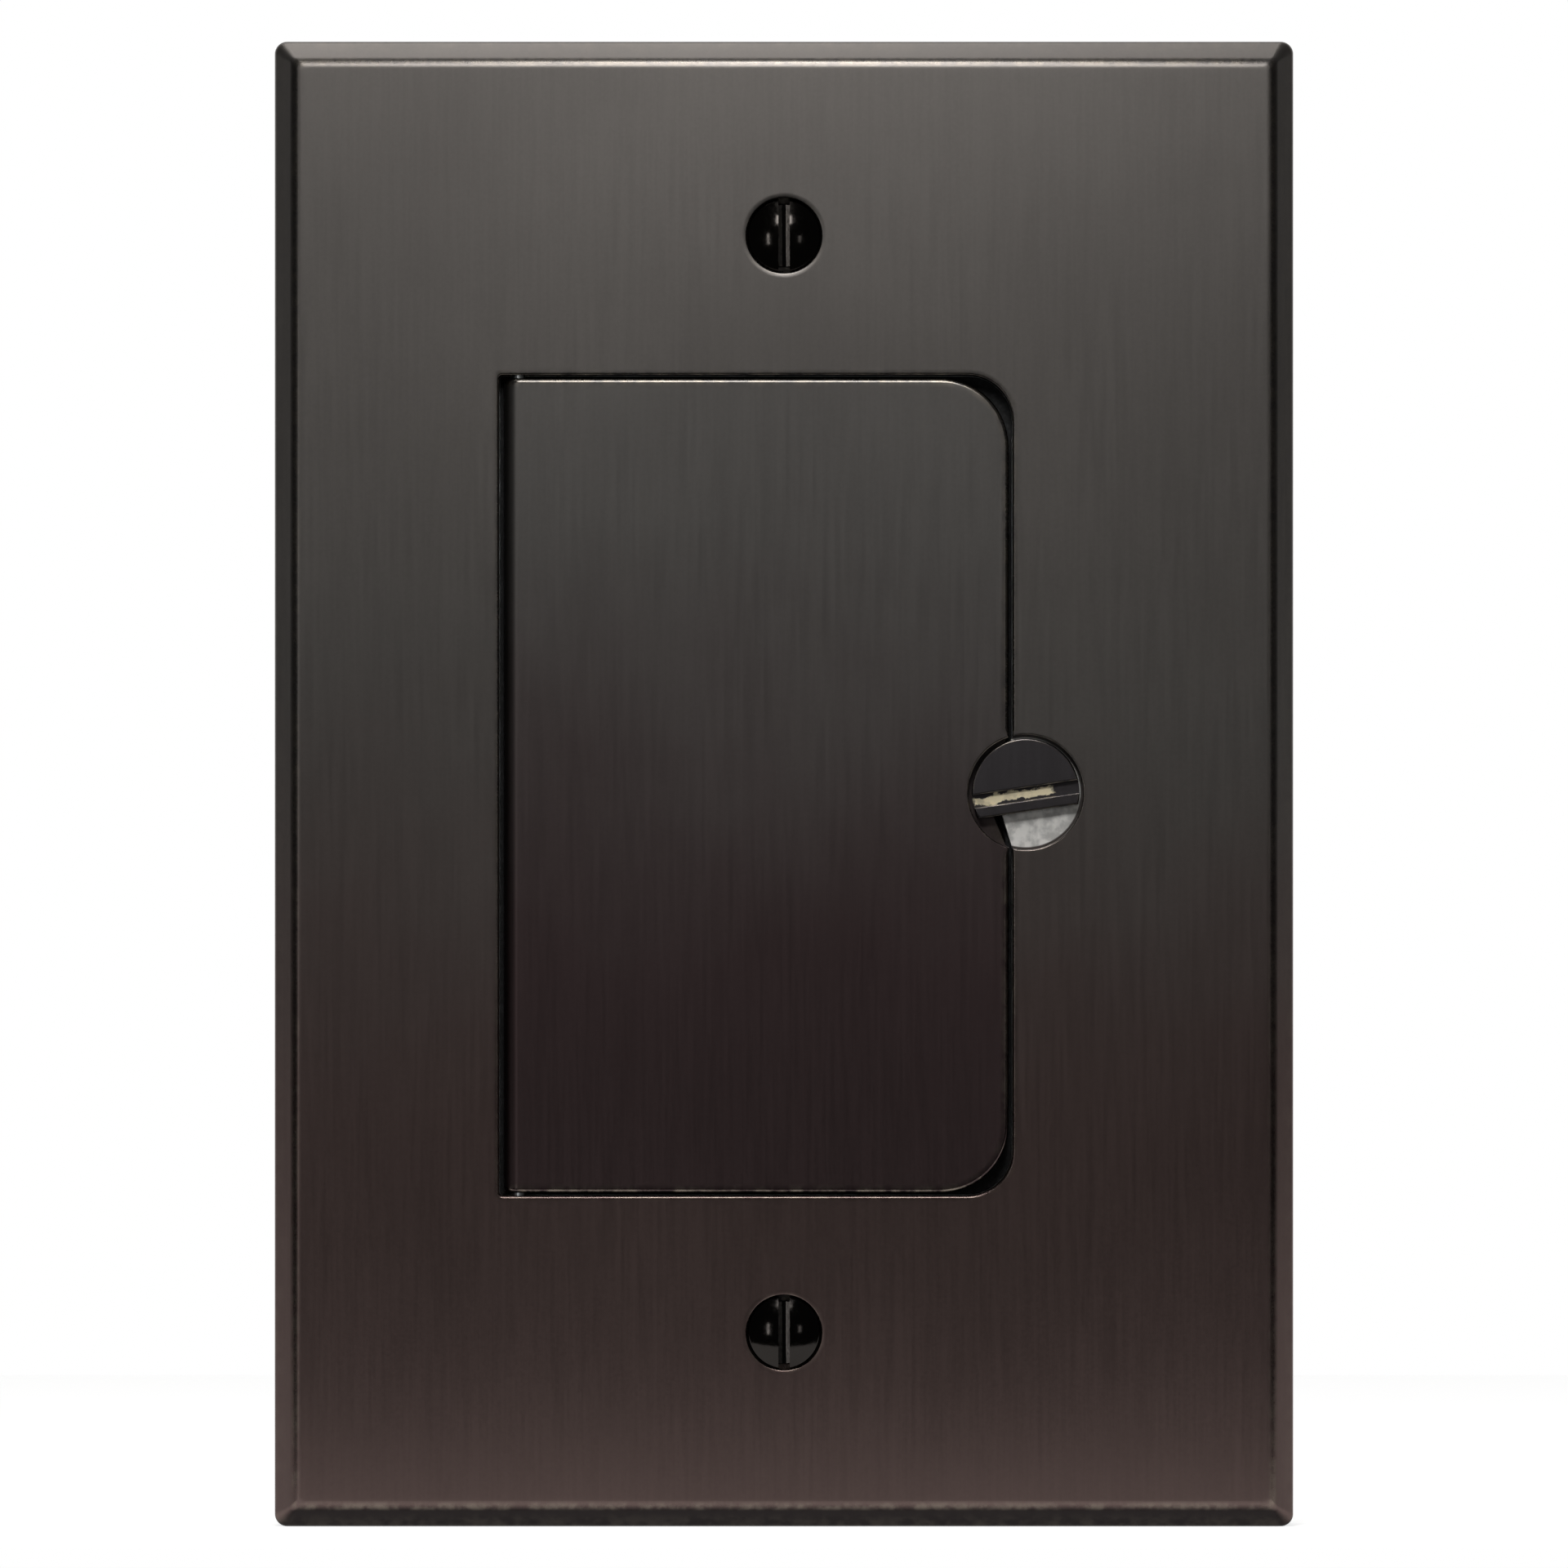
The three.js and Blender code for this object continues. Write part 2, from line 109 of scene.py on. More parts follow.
def skin(rings, wear=0.0, closed=True):
    """Surface through a stack of rings: point j of ring i joins points j and j + 1 of ring i + 1.
    Wear is one number, or one for each ring or each point."""
    rings = np.asarray(rings)
    count, around = rings.shape[:2]
    index = np.arange(count * around).reshape(count, around)
    if closed:
        index = np.column_stack([index, index[:, 0]])
    a, b, c, d = index[:-1, :-1], index[:-1, 1:], index[1:, 1:], index[1:, :-1]
    triangles = np.concatenate([np.stack([a, b, c], -1), np.stack([a, c, d], -1)]).reshape(-1, 3)
    wear = np.asarray(wear, float)
    wear = wear if wear.ndim == 2 else wear.reshape(-1, 1)
    return rings.reshape(-1, 3), triangles, np.broadcast_to(wear, (count, around)).ravel()


def fill(outer, *holes, wear=0.0):
    """Flat face between an outline and its holes: a Delaunay net that keeps their edges, less the
    triangles whose middle an even number of edges separates from the outside."""
    loops = (outer,) + holes
    points = np.concatenate(loops)
    plane = np.delete(points, np.ptp(points, axis=0).argmin(), axis=1)
    starts = np.cumsum([0] + [len(loop) for loop in loops])
    edges = np.concatenate([
        np.column_stack([np.arange(a, b), np.roll(np.arange(a, b), -1)])
        for a, b in zip(starts[:-1], starts[1:])])
    net = delaunay_2d_cdt(plane.tolist(), edges.tolist(), [], 0, 1e-6, True)
    origin = np.array([ids[0] for ids in net[3]])
    triangles = origin[np.array([list(face) for face in net[2]])]
    middle = plane[triangles].mean(1)[:, None]
    p, q = plane[edges[:, 0]], plane[edges[:, 1]]
    spans = (p[:, 1] > middle[..., 1]) != (q[:, 1] > middle[..., 1])
    rise = np.where(q[:, 1] == p[:, 1], 1.0, q[:, 1] - p[:, 1])
    cross = p[:, 0] + (middle[..., 1] - p[:, 1]) * (q[:, 0] - p[:, 0]) / rise
    inside = (spans & (cross > middle[..., 0])).sum(1) % 2 == 1
    return points, triangles[inside], wear * np.ones(len(points))


def turned(x, z, profile, steps=64):
    """Turned surface about a line square to the wall: a circle for each radius and height of the
    profile. A third number is the wear."""
    rings = [at(arc(x, z, radius, 0, 360, steps)[:-1], height) for radius, height, *_ in profile]
    return skin(rings, np.array([row[2] if len(row) > 2 else 0.0 for row in profile]))


def build(name, patches, material):
    """One closed mesh in metres from patches in millimetres: doubles merged, faces turned outwards,
    shaded smooth but for edges sharper than 32 degrees."""
    points, triangles, wear = zip(*patches)
    starts = np.cumsum([0] + [len(p) for p in points[:-1]])
    mesh = bpy.data.meshes.new(name)
    mesh.from_pydata(np.concatenate(points) * MM, [],
                     np.concatenate([t + start for t, start in zip(triangles, starts)]))
    mesh.attributes.new("edge_wear", "FLOAT", "POINT").data.foreach_set(
        "value", np.concatenate(wear).astype(np.float32))
    work = bmesh.new()
    work.from_mesh(mesh)
    bmesh.ops.remove_doubles(work, verts=work.verts, dist=2e-7)
    bmesh.ops.recalc_face_normals(work, faces=work.faces)
    work.to_mesh(mesh)
    work.free()
    mesh.shade_smooth()
    mesh.set_sharp_from_angle(angle=math.radians(32))
    mesh.materials.append(material)
    piece = bpy.data.objects.new(name, mesh)
    bpy.context.collection.objects.link(piece)
    piece.modifiers.new("flats stay flat", "WEIGHTED_NORMAL").keep_sharp = True
    return piece


def node(tree, kind, inputs=None, **settings):
    """Adds a shader node. Each input is a plain value or the output of another node."""
    made = tree.nodes.new("ShaderNode" + kind)
    for name, value in settings.items():
        setattr(made, name, value)
    for key, value in (inputs or {}).items():
        if isinstance(value, bpy.types.NodeSocket):
            tree.links.new(value, made.inputs[key])
        else:
            made.inputs[key].default_value = value
    return made


def math_node(tree, operation, *values, clamp=False):
    """One sum on numbers or sockets."""
    return node(tree, "Math", dict(enumerate(values)), operation=operation, use_clamp=clamp).outputs[0]


def blend_colour(tree, factor, first, second):
    """Colour between two colours: the first where the factor is 0, the second where it is 1."""
    return node(tree, "Mix", {"Factor": factor, 6: first, 7: second}, data_type="RGBA").outputs[2]


def ramp(tree, value, low, high, to_low=0.0, to_high=1.0):
    """Smooth step of a value from one range to another."""
    return node(tree, "MapRange", {"Value": value, "From Min": low, "From Max": high, "To Min": to_low,
                                   "To Max": to_high}, interpolation_type="SMOOTHSTEP").outputs[0]


def effect(name, inputs, outputs):
    """Starts a shader node group: number or vector inputs with their first values, and outputs."""
    tree = bpy.data.node_groups.new(name, "ShaderNodeTree")
    for label, value in inputs.items():
        kind = "NodeSocketVector" if isinstance(value, tuple) else "NodeSocketFloat"
        tree.interface.new_socket(label, in_out="INPUT", socket_type=kind).default_value = value
    for label in outputs:
        tree.interface.new_socket(label, in_out="OUTPUT", socket_type="NodeSocketFloat")
    return tree, tree.nodes.new("NodeGroupInput").outputs, tree.nodes.new("NodeGroupOutput")


def use(tree, group, **inputs):
    """Places an effect in a material with its own values."""
    made = node(tree, "Group", node_tree=group)
    for key, value in inputs.items():
        socket = made.inputs[key.replace("_", " ").capitalize()]
        if isinstance(value, bpy.types.NodeSocket):
            tree.links.new(value, socket)
        else:
            socket.default_value = value
    return made.outputs


def new_material(name):
    """Empty material with a Principled shader joined to its output."""
    material = bpy.data.materials.new(name)
    material.use_nodes = True
    material.node_tree.nodes.clear()
    shader = node(material.node_tree, "BsdfPrincipled")
    node(material.node_tree, "OutputMaterial", {"Surface": shader.outputs[0]})
    return material, material.node_tree, shader


def put(tree, shader, **inputs):
    """Sets or joins inputs of a shader, named with underscores for blanks."""
    for key, value in inputs.items():
        socket = shader.inputs[key.replace("_", " ")]
        if isinstance(value, bpy.types.NodeSocket):
            tree.links.new(value, socket)
        else:
            socket.default_value = value


# Brush marks: noise stretched along z, coarse and fine, with a little even grain under it
brush_marks, given, result = effect("brush marks", {"Across": 2600.0, "Along": 90.0, "Grain": 0.4},
                                    ["Marks", "Broad"])
place = node(brush_marks, "TexCoord").outputs["Object"]
parts = node(brush_marks, "SeparateXYZ", {0: place}).outputs
stretched = node(brush_marks, "CombineXYZ", {
    0: math_node(brush_marks, "MULTIPLY", parts[0], given["Across"]),
    1: math_node(brush_marks, "MULTIPLY", parts[1], given["Across"]),
    2: math_node(brush_marks, "MULTIPLY", parts[2], given["Along"])}).outputs[0]
lines = node(brush_marks, "TexNoise", {"Vector": stretched, "Scale": 1.0, "Detail": 4.0,
                                       "Roughness": 0.65}).outputs[0]
grain = node(brush_marks, "TexNoise", {"Vector": place, "Scale": 3400.0, "Detail": 2.0}).outputs[0]
mixed = node(brush_marks, "Mix", {"Factor": given["Grain"], 2: lines, 3: grain}).outputs[0]
brush_marks.links.new(mixed, result.inputs["Marks"])
broad = node(brush_marks, "TexNoise", {"Vector": place, "Scale": 38.0, "Detail": 3.0,
                                       "Roughness": 0.55}).outputs[0]
brush_marks.links.new(broad, result.inputs["Broad"])

# Rubbed edges: the piece's own wear value, broken up by noise
rubbed_edges, given, result = effect("rubbed edges", {"Amount": 0.7, "Grain": 900.0}, ["Mask"])
worn = node(rubbed_edges, "Attribute", attribute_name="edge_wear").outputs["Fac"]
chips = node(rubbed_edges, "TexNoise", {"Scale": given["Grain"], "Detail": 4.0, "Vector": node(
    rubbed_edges, "TexCoord").outputs["Object"]}).outputs[0]
chips = ramp(rubbed_edges, chips, 0.35, 0.68)
mask = math_node(rubbed_edges, "MULTIPLY", math_node(rubbed_edges, "MULTIPLY", worn, chips),
                 given["Amount"], clamp=True)
rubbed_edges.links.new(mask, result.inputs["Mask"])


def dark_bronze(name, upper, lower, fade=(-0.035, 0.012), roughness=0.42, worn=0.5, bare=None,
                bright=(0.97, 0.95, 0.91, 1), cast=None):
    """Brushed and darkened brass. The colour goes from a lower to an upper tone between the two
    heights of the fade, downward faces get painted shade near black, and edges are rubbed. Bare
    masks milled metal of the bright colour, and cast masks metal left as it came from the mould."""
    material, tree, shader = new_material(name)
    place = node(tree, "TexCoord").outputs["Object"]
    marks, broad = use(tree, brush_marks)[:2]

    # Colour fades from the lower to the upper tone with height, darker towards the bottom, made uneven by the
    # broad noise, with streaks and stains of 5 percent
    uneven = math_node(tree, "MULTIPLY", math_node(tree, "SUBTRACT", broad, 0.5), 0.03)
    height = math_node(tree, "ADD", node(tree, "SeparateXYZ", {0: place}).outputs[2], uneven)
    colour = blend_colour(tree, ramp(tree, height, *fade), lower, upper)
    streak = ramp(tree, marks, 0.3, 0.7, 0.95, 1.05)
    stain = ramp(tree, broad, 0.3, 0.7, 0.95, 1.05)
    shade = math_node(tree, "MULTIPLY", streak, stain)
    colour = node(tree, "VectorMath", {0: colour, "Scale": shade}, operation="SCALE").outputs[0]
    # Painted shade: faces turned downwards are blended towards near black, standing in for the dark they would
    # reflect from below
    upward = node(tree, "SeparateXYZ", {0: node(tree, "NewGeometry").outputs["True Normal"]}).outputs[2]
    painted_underside_shade = ramp(tree, upward, -0.65, -0.2, 0.95, 0.0)
    colour = blend_colour(tree, painted_underside_shade, colour, (0.012, 0.010, 0.010, 1))

    # Rubbed edges are lighter and smoother
    rubbed = use(tree, rubbed_edges, amount=worn)[0]
    colour = blend_colour(tree, rubbed, colour, (0.26, 0.225, 0.18, 1))
    wear = node(tree, "Attribute", attribute_name="edge_wear").outputs["Fac"]
    brushed = ramp(tree, marks, 0.25, 0.75, roughness - 0.03, roughness + 0.03)
    rough = math_node(tree, "SUBTRACT", brushed, math_node(tree, "MULTIPLY", wear, 0.16))

    if cast is not None:
        mask = cast(tree)
        sand = node(tree, "TexNoise", {"Vector": place, "Scale": 1400.0, "Detail": 4.0}).outputs[0]
        sandy = blend_colour(tree, ramp(tree, sand, 0.35, 0.7), (0.15, 0.11, 0.07, 1), (0.27, 0.20, 0.12, 1))
        colour = blend_colour(tree, mask, colour, sandy)
        rough = ramp(tree, mask, 0.0, 1.0, rough, 0.62)
    if bare is not None:
        mask = bare(tree)
        dull = tuple(0.66 * value for value in bright[:3]) + (1,)
        mottle = node(tree, "TexNoise", {"Vector": place, "Scale": 850.0, "Detail": 3.0}).outputs[0]
        mottled = blend_colour(tree, ramp(tree, mottle, 0.36, 0.6), dull, bright)
        colour = blend_colour(tree, mask, colour, mottled)
        rough = ramp(tree, mask, 0.0, 1.0, rough, 0.50)
    bump = node(tree, "Bump", {"Strength": 0.06, "Distance": 0.00003, "Height": marks})
    put(tree, shader, Base_Color=colour, Metallic=1.0, Roughness=rough, Normal=bump.outputs[0])
    return material


# Round spot about a line square to the wall, between two heights
round_spot, given, result = effect("round spot", {
    "Centre": (0.0, 0.0, 0.0), "Radius": 0.005, "Lowest": 0.0, "Highest": 0.01, "Soft": 0.0001}, ["Mask"])
place = node(round_spot, "TexCoord").outputs["Object"]
away = node(round_spot, "VectorMath", {0: place, 1: given["Centre"]}, operation="SUBTRACT").outputs[0]
flat = node(round_spot, "VectorMath", {0: away, 1: (1.0, 0.0, 1.0)}, operation="MULTIPLY").outputs[0]
far = node(round_spot, "VectorMath", {0: flat}, operation="LENGTH").outputs["Value"]
within = math_node(round_spot, "DIVIDE", math_node(
    round_spot, "SUBTRACT", given["Radius"], far), given["Soft"], clamp=True)
height = math_node(round_spot, "MULTIPLY", node(round_spot, "SeparateXYZ", {0: place}).outputs[1], -1.0)
band = math_node(round_spot, "MULTIPLY",
                 math_node(round_spot, "GREATER_THAN", height, given["Lowest"]),
                 math_node(round_spot, "LESS_THAN", height, given["Highest"]))
round_spot.links.new(math_node(round_spot, "MULTIPLY", within, band), result.inputs["Mask"])

low, high = (np.array(corner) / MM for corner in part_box("face_plate"))
half_width, half_height, face = high[0], high[2], -low[1]
skirt_end = -high[1]
latch_x, _, latch_z = np.array(next(
    joint["pos_m"] for joint in frame["joints"] if joint["name"] == "latch_turn")) / MM
hinge_x, hinge_height = (np.array(next(
    joint["pos_m"] for joint in frame["joints"] if joint["name"] == "door_hinge")) / MM)[:2] * (1, -1)

seat_height = 6.3   # back of the front wall
counterbore_floor = 8.0
counterbore = 5.08
opening_left, opening_right = -25.165, 20.185
opening_bottom, opening_top = -36.37, 36.09
opening_corner, hinge_corner = 4.0, 0.3
opening_ease, seat_ease = 0.22, 0.12
bevel, face_round, rim_round = 1.8, 1.5, 0.6
skirt, skirt_ease, hollow_round = 2.5, 0.2, 0.9
quarter = np.radians(np.linspace(0, 90, 7))

# Rim: in from the outline, height, corner radius and wear, from the face over the slope and down
# to the skirt, round under it and up the hollow to the back of the front wall
round_start = bevel + face_round * math.tan(math.pi / 8)
to_slope = np.radians(np.linspace(0, 45, 10))
to_side = np.radians(np.linspace(45, 90, 7))
rim_centre = face - bevel - rim_round * math.tan(math.pi / 8)
rim = [(round_start + 0.5, face, 0.5, 0.0)]
rim += [(round_start - face_round * math.sin(a), face - face_round * (1 - math.cos(a)), 0.5,
         math.sin(4 * a) ** 2) for a in to_slope]
rim += [(rim_round * (1 - math.sin(a)), rim_centre + rim_round * math.cos(a), 1.1, 0.25)
        for a in to_side]
rim += [(0, 6.5, 1.2, 0), (0, skirt_end + skirt_ease, 1.2, 0), (0.06, skirt_end + 0.06, 1.2, 0.4),
        (skirt_ease, skirt_end, 1.2, 0.2), (skirt - skirt_ease, skirt_end, 1.3, 0),
        (skirt - 0.06, skirt_end + 0.06, 1.4, 0.3), (skirt, skirt_end + skirt_ease, 1.5, 0)]
rim += [(skirt + hollow_round * (1 - math.cos(a)), seat_height - hollow_round * (1 - math.sin(a)), 1.5, 0)
        for a in quarter]
rim_rings = [at(rounded(half_width - d, half_height - d, r), h) for d, h, r, _ in rim]
patches = [skin(rim_rings, np.array([row[3] for row in rim]))]

# The opening's outline, anticlockwise from its lower right corner. Above the counterbore's floor
# it runs round the latch seat, and below it round the tongue that carries the latch's stem.
half_bite = math.sqrt(counterbore ** 2 - (opening_right - latch_x) ** 2)
bite = math.degrees(math.atan2(half_bite, opening_right - latch_x))
tongue, stem_bore = 2.55, 1.35
touch = bite + math.degrees(math.acos(tongue / counterbore))
lower_corner = arc(opening_right - opening_corner, opening_bottom + opening_corner,
                   opening_corner, -90, 0, 12)
upper_corner = arc(opening_right - opening_corner, opening_top - opening_corner,
                   opening_corner, 0, 90, 12)
run_in = np.array([(opening_right, latch_z - half_bite - 0.7)])
run_out = np.array([(opening_right, latch_z + half_bite + 0.7)])
seat_round = arc(latch_x, latch_z, counterbore, -bite, bite, 48)
tongue_round = np.concatenate([seat_round[:1], arc(
    latch_x, latch_z, tongue, 360 - touch, touch, 20), seat_round[-1:]])
hinge_side = np.concatenate([
    arc(opening_left + hinge_corner, opening_top - hinge_corner, hinge_corner, 90, 180, 4),
    arc(opening_left + hinge_corner, opening_bottom + hinge_corner, hinge_corner, 180, 270, 4)])
lower_corner, upper_corner = (np.concatenate([lower_corner, run_in]),
                              np.concatenate([run_out, upper_corner]))
latch_side = np.concatenate([lower_corner, seat_round, upper_corner])
outline = np.concatenate([latch_side, hinge_side])
fine = np.isin(np.arange(len(outline)), np.arange(len(seat_round)) + len(lower_corner))
edge_round = np.where(fine, seat_ease, opening_ease)

edge_rings = [at(inset(outline, -edge_round - np.where(fine, 0.12, 0.35)), face)]
edge_rings += [at(inset(outline, -edge_round * (1 - math.sin(a))), face - edge_round * (1 - math.cos(a)))
               for a in quarter]
patches.append(skin(edge_rings, np.array([0, 0.5, 1, 1, 1, 1, 1, 0.8])))
walls_top = face - edge_round[:len(latch_side)]
patches += [
    skin([at(latch_side, walls_top), at(latch_side, counterbore_floor)], closed=False),
    fill(at(np.concatenate([seat_round, tongue_round[::-1][1:-1]]), counterbore_floor),
         at(arc(latch_x, latch_z, stem_bore, 0, 360, 32)[:-1], counterbore_floor)),
    skin([at(np.concatenate([lower_corner, tongue_round, upper_corner]), h)
          for h in (counterbore_floor, seat_height)], closed=False),
    skin([at(hinge_side, h) for h in (face - opening_ease, seat_height)], closed=False),
    turned(latch_x, latch_z, [(stem_bore, counterbore_floor), (stem_bore, seat_height)], 32)]

# Pockets for the hinge pin's keepers, in the upper and lower walls of the opening: a box with a
# round-ended groove over the pin
pocket_left, pocket_right, pocket_top, pocket_reach, pin_bore = -24.815, -20.915, 7.95, 3.3, 0.66
groove = arc(hinge_x, hinge_height, pin_bore, 180, 0, 12)
pocket = np.concatenate([
    [(pocket_left, seat_height), (pocket_left, pocket_top), (hinge_x - pin_bore, pocket_top)], groove,
    [(hinge_x + pin_bore, pocket_top), (pocket_right, pocket_top), (pocket_right, seat_height)]])
wall_end = opening_right - opening_corner
wall = np.concatenate([pocket, [
    (wall_end, seat_height), (wall_end, counterbore_floor), (wall_end, face - opening_ease),
    (opening_left + hinge_corner, face - opening_ease), (opening_left + hinge_corner, seat_height)]])


def upright(section, z):
    """Section of x and height set in the level plane z."""
    return np.column_stack([section[:, 0], -section[:, 1], z * np.ones(len(section))])


for edge, out in ((opening_top, 1), (opening_bottom, -1)):
    far_end = edge + out * pocket_reach
    patches += [fill(upright(wall, edge)), fill(upright(pocket, far_end)),
                skin([upright(pocket, edge), upright(pocket, far_end)], closed=False)]

# Screw holes: countersink, hole, and behind it the boss with the pocket of the retaining washer
cover_screw_z = 48.42
countersink, cone_angle, screw_hole = 3.35, 41, 1.95
washer_pocket, washer_seat, boss_radius, boss_end, boss_foot = 3.5, 2.5, 4.3, 1.5, 0.7
cone_end = face - (countersink - screw_hole) / math.tan(math.radians(cone_angle))
boss = [(countersink + 0.45, face, 0), (countersink + 0.1, face, 0.4),
        (countersink + 0.03, face - 0.03, 1), (countersink, face - 0.1, 1),
        (screw_hole, cone_end, 0), (screw_hole, washer_seat, 0), (washer_pocket, washer_seat, 0),
        (washer_pocket, boss_end + 0.1, 0), (washer_pocket + 0.1, boss_end, 0.4),
        (boss_radius - 0.2, boss_end, 0.4), (boss_radius - 0.06, boss_end + 0.06, 0.6),
        (boss_radius, boss_end + 0.2, 0.3), (boss_radius, seat_height - boss_foot, 0)]
boss += [(boss_radius + boss_foot * (1 - math.cos(a)), seat_height - boss_foot * (1 - math.sin(a)), 0)
         for a in quarter]
for z in (cover_screw_z, -cover_screw_z):
    patches.append(turned(0, z, boss))

# Blind threaded holes for the inner plate's screws
thread_hole, thread_end = 1.15, 8.7
inner_screws = [(x, z) for x in (-17.99, 13.01) for z in (39.79, -40.07)]
for x, z in inner_screws:
    patches += [turned(x, z, [(thread_hole, seat_height), (thread_hole, thread_end)], 24),
                fill(at(arc(x, z, thread_hole, 0, 360, 24)[:-1], thread_end))]


def circle(x, z, radius, height, steps=64):
    """Closed ring about a line square to the wall."""
    return at(arc(x, z, radius, 0, 360, steps)[:-1], height)


# The face, and the back of the front wall with the pockets' mouths
patches.append(fill(rim_rings[0], edge_rings[0],
                    *[circle(0, z, boss[0][0], face) for z in (cover_screw_z, -cover_screw_z)]))
mouths = [[(x, opening_top + dz) for x, dz in ((pocket_right, 0), (pocket_right, pocket_reach),
                                               (pocket_left, pocket_reach), (pocket_left, 0))],
          [(x, opening_bottom - dz) for x, dz in ((pocket_left, 0), (pocket_left, pocket_reach),
                                                  (pocket_right, pocket_reach), (pocket_right, 0))]]
back_outline = np.concatenate([
    lower_corner, tongue_round, upper_corner, mouths[0], hinge_side, mouths[1]])
patches.append(fill(rim_rings[-1], at(back_outline, seat_height),
                    circle(latch_x, latch_z, stem_bore, seat_height, 32),
                    *[circle(0, z, boss[-1][0], seat_height) for z in (cover_screw_z, -cover_screw_z)],
                    *[circle(x, z, thread_hole, seat_height, 24) for x, z in inner_screws]))

bronze_upper = (0.110, 0.101, 0.094, 1)
bronze_lower = (0.106, 0.075, 0.069, 1)


def milled_seat(tree):
    """Mask of the counterbore's floor, stopping just short of its wall."""
    return use(tree, round_spot, centre=(latch_x * MM, 0, latch_z * MM), radius=(counterbore - 0.18) * MM,
               lowest=(counterbore_floor - 0.1) * MM, highest=(counterbore_floor + 0.1) * MM)[0]


def cast_hollow(tree):
    """Mask of the hollow behind the front wall, inside the skirt."""
    place = node(tree, "TexCoord").outputs["Object"]
    away = node(tree, "VectorMath", {0: place}, operation="ABSOLUTE").outputs[0]
    x, y, z = node(tree, "SeparateXYZ", {0: away}).outputs
    wall_thickness = skirt - 0.1
    mask = 1.0
    for value, limit in ((x, half_width - wall_thickness), (y, seat_height + 0.1),
                         (z, half_height - wall_thickness)):
        mask = math_node(tree, "MULTIPLY", mask, math_node(tree, "LESS_THAN", value, limit * MM))
    return mask


plate_bronze = dark_bronze("brushed dark bronze", bronze_upper, bronze_lower, worn=0.3,
                           bare=milled_seat, cast=cast_hollow)
face_plate = build("face_plate_casting", patches, plate_bronze)
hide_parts("face_plate")
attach(face_plate, "frame")


# ------------------------------------------------------------------ door
# A brass leaf with a half-round hinge edge, drilled for its pin, and two round corners on the free
# side. All its edges are eased. The latch's counterbore is cut through its free edge down to a lip,
# and the lip is notched round the plate's tongue, with a sloped edge.

low, high = (np.array(corner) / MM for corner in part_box("door"))
door_bottom, door_right, door_top, door_back = low[2], high[0], high[2], -high[1]
door_corner, door_edge, lip_slope, tongue_gap = 6.0, 0.38, 0.5, 0.4
barrel = (face - door_back) / 2
corner_start = door_right - door_corner

half_bite = math.sqrt(counterbore ** 2 - (door_right - latch_x) ** 2)
bite = math.degrees(math.atan2(half_bite, door_right - latch_x))
notch = tongue + tongue_gap
touch = bite + math.degrees(math.acos(notch / counterbore))
door_lower = np.concatenate([
    arc(corner_start, door_bottom + door_corner, door_corner, -90, 0, 16),
    [(door_right, latch_z - half_bite - 0.8)]])
door_upper = np.concatenate([
    [(door_right, latch_z + half_bite + 0.8)],
    arc(corner_start, door_top - door_corner, door_corner, 0, 90, 16)])
counterbore_round = arc(latch_x, latch_z, counterbore, 360 - bite, bite, 48)
trim = np.array([(door_right - 0.28, latch_z + half_bite - 0.86),
                 (door_right - 0.28, latch_z + half_bite - 0.2)])
notch_round = np.concatenate([
    counterbore_round[:1], trim[::-1] * (1, -1) + (0, 2 * latch_z),
    arc(latch_x, latch_z, notch, 360 - touch, touch, 20), trim, counterbore_round[-1:]])


def along_side(middle):
    """Open path from the lower to the upper end of the hinge line round the free side, and which of
    its points are in the middle part."""
    path = np.concatenate([[(hinge_x, door_bottom)], door_lower, middle, door_upper,
                           [(hinge_x, door_top)]])
    first = len(door_lower) + 1
    number = np.arange(len(path))
    return path, (number >= first) & (number < first + len(middle))


# Eased edges, from the flats over a quarter circle to the sides
front_path, at_latch = along_side(counterbore_round)
back_path, at_notch = along_side(notch_round)
front_edge = np.where(at_latch, seat_ease, door_edge)
back_edge = np.where(at_notch, 0.0, door_edge)
edge_wear = np.array([0, 0.5, 1, 1, 1, 1, 1, 0.8])
front_rings = [at(inset(front_path, front_edge + np.where(at_latch, 0.12, 0.4), False), face)]
front_rings += [at(inset(front_path, front_edge * (1 - math.sin(a)), False),
                   face - front_edge * (1 - math.cos(a))) for a in quarter]
back_rings = [at(inset(back_path, back_edge + np.where(at_notch, 0, 0.4), False), door_back)]
back_rings += [at(inset(back_path, back_edge * (1 - math.sin(a)), False),
                  door_back + back_edge * (1 - math.cos(a))) for a in quarter]
patches = [skin(front_rings, edge_wear, False), skin(back_rings, edge_wear[:, None] * ~at_notch, False),
           fill(front_rings[0]), fill(back_rings[0])]

# Free side above the lip, the lip with its slope, and the free side below it
slope = np.full(len(notch_round), lip_slope)
slope[[0, 1, -2, -1]] = 0
slope[[2, -3]] = lip_slope / 2
lip = inset(notch_round, slope, False)
lip_height = np.where(slope > 0, counterbore_floor - lip_slope, counterbore_floor)
lower_top = np.full(len(back_path), counterbore_floor)
lower_top[at_notch] = lip_height
patches += [
    skin([at(front_path, face - front_edge)[1:-1], at(front_path, counterbore_floor)[1:-1]],
         closed=False),
    fill(at(np.concatenate([counterbore_round, lip[::-1][1:-1]]), counterbore_floor)),
    skin([at(lip, counterbore_floor), at(notch_round, lip_height)], np.array([1.0, 0.3]), False),
    skin([at(back_path, lower_top)[1:-1], at(back_path, door_back + back_edge)[1:-1]], closed=False)]

